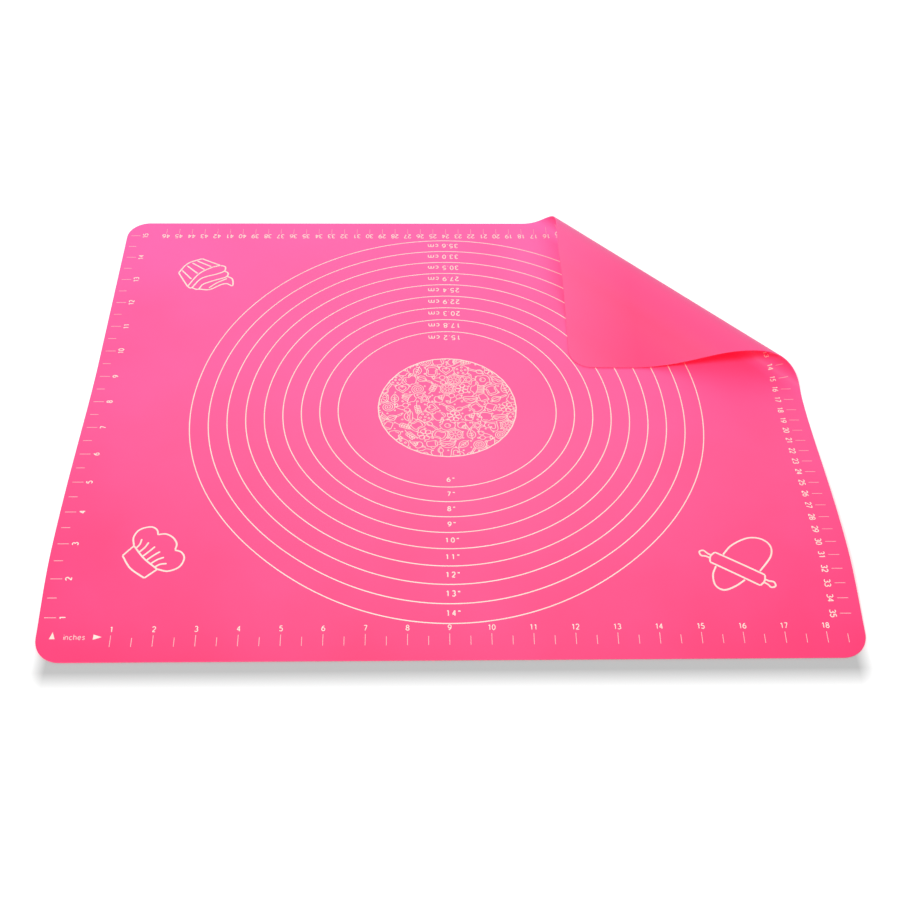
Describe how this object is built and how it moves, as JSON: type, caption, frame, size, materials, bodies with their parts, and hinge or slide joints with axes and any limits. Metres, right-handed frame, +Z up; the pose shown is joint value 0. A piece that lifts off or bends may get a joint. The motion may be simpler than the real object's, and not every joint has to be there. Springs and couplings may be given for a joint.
{
  "type": "silicone baking mat",
  "caption": "Thin rectangular silicone pastry mat with rounded corners, printed rulers and dough rings, one corner turned over on a fold that opens flat.",
  "frame": {"origin": "middle of the mat's underside, on the table", "axes": "+X along the long side to the right, +Y from the front edge to the back edge, +Z up through the printed face"},
  "size_m": [0.5001, 0.4001, 0.0248],
  "materials": {
    "silicone": "satin moulded silicone, bright pink",
    "ink": "thin cream screen print, cured into the silicone"
  },
  "bodies": {
    "mat": {"mat_sheet": "silicone", "ring_06_inch": "ink", "ring_07_inch": "ink", "ring_08_inch": "ink", "ring_09_inch": "ink", "ring_10_inch": "ink", "ring_11_inch": "ink", "ring_12_inch": "ink", "ring_13_inch": "ink", "ring_14_inch": "ink", "disc_outline": "ink", "front_ruler_ticks": "ink", "left_ruler_ticks": "ink", "right_ruler_ticks": "ink", "back_ruler_ticks": "ink"},
    "curl_1": {"curl_strip_1": "silicone"},
    "curl_2": {"curl_strip_2": "silicone"},
    "curl_3": {"curl_strip_3": "silicone"},
    "curl_4": {"curl_strip_4": "silicone"},
    "curl_5": {"curl_strip_5": "silicone"},
    "curl_6": {"curl_strip_6": "silicone"},
    "curl_7": {"curl_strip_7": "silicone"},
    "curl_8": {"curl_strip_8": "silicone"},
    "slope": {"slope_strip": "silicone"},
    "settle_1": {"settle_strip_1": "silicone"},
    "settle_2": {"settle_strip_2": "silicone"},
    "settle_3": {"settle_strip_3": "silicone"},
    "corner": {"corner_flap": "silicone"}
  },
  "joints": [
    {"name": "corner_fold", "type": "hinge", "parent": "mat", "child": "curl_1", "pos_m": [0.15448, 0.10581, 0], "axis": [-0.7022, 0.712, 0], "range_deg": [0, 12]},
    {"name": "bend_02", "type": "hinge", "parent": "curl_1", "child": "curl_2", "pos_m": [0.15873, 0.11, 0.00127], "axis": [-0.7022, 0.712, 0], "range_deg": [0, 31.01]},
    {"name": "bend_03", "type": "hinge", "parent": "curl_2", "child": "curl_3", "pos_m": [0.16141, 0.11264, 0.00477], "axis": [-0.7022, 0.712, 0], "range_deg": [0, 34.01]},
    {"name": "bend_04", "type": "hinge", "parent": "curl_3", "child": "curl_4", "pos_m": [0.16223, 0.11344, 0.00976], "axis": [-0.7022, 0.712, 0], "range_deg": [0, 28.51]},
    {"name": "bend_05", "type": "hinge", "parent": "curl_4", "child": "curl_5", "pos_m": [0.16088, 0.11211, 0.01661], "axis": [-0.7022, 0.712, 0], "range_deg": [0, 27.51]},
    {"name": "bend_06", "type": "hinge", "parent": "curl_5", "child": "curl_6", "pos_m": [0.15743, 0.10871, 0.0218], "axis": [-0.7022, 0.712, 0], "range_deg": [0, 27.01]},
    {"name": "bend_07", "type": "hinge", "parent": "curl_6", "child": "curl_7", "pos_m": [0.15202, 0.10338, 0.02456], "axis": [-0.7022, 0.712, 0], "range_deg": [0, 24.01]},
    {"name": "bend_08", "type": "hinge", "parent": "curl_7", "child": "curl_8", "pos_m": [0.14345, 0.09493, 0.02372], "axis": [-0.7022, 0.712, 0], "range_deg": [0, 23.51]},
    {"name": "bend_09", "type": "hinge", "parent": "curl_8", "child": "slope", "pos_m": [0.13584, 0.08742, 0.01816], "axis": [-0.7022, 0.712, 0], "range_deg": [0, 12.51]},
    {"name": "bend_10", "type": "hinge", "parent": "slope", "child": "settle_1", "pos_m": [0.13198, 0.08362, 0.0127], "axis": [-0.7022, 0.712, 0], "range_deg": [-6.68, 0]},
    {"name": "bend_11", "type": "hinge", "parent": "settle_1", "child": "settle_2", "pos_m": [0.12511, 0.07684, 0.00635], "axis": [-0.7022, 0.712, 0], "range_deg": [-13.34, 0]},
    {"name": "bend_12", "type": "hinge", "parent": "settle_2", "child": "settle_3", "pos_m": [0.11738, 0.06922, 0.0024], "axis": [-0.7022, 0.712, 0], "range_deg": [-13.34, 0]},
    {"name": "bend_13", "type": "hinge", "parent": "settle_3", "child": "corner", "pos_m": [0.10921, 0.06116, 0.00106], "axis": [-0.7022, 0.712, 0], "range_deg": [-6.68, 0]}
  ],
  "couplings": [
    {"joint": "bend_02", "follows": "corner_fold", "ratio": 2.5833},
    {"joint": "bend_03", "follows": "corner_fold", "ratio": 2.8333},
    {"joint": "bend_04", "follows": "corner_fold", "ratio": 2.375},
    {"joint": "bend_05", "follows": "corner_fold", "ratio": 2.2917},
    {"joint": "bend_06", "follows": "corner_fold", "ratio": 2.25},
    {"joint": "bend_07", "follows": "corner_fold", "ratio": 2},
    {"joint": "bend_08", "follows": "corner_fold", "ratio": 1.9583},
    {"joint": "bend_09", "follows": "corner_fold", "ratio": 1.0417},
    {"joint": "bend_10", "follows": "corner_fold", "ratio": -0.55556},
    {"joint": "bend_11", "follows": "corner_fold", "ratio": -1.1111},
    {"joint": "bend_12", "follows": "corner_fold", "ratio": -1.1111},
    {"joint": "bend_13", "follows": "corner_fold", "ratio": -0.55556}
  ]
}
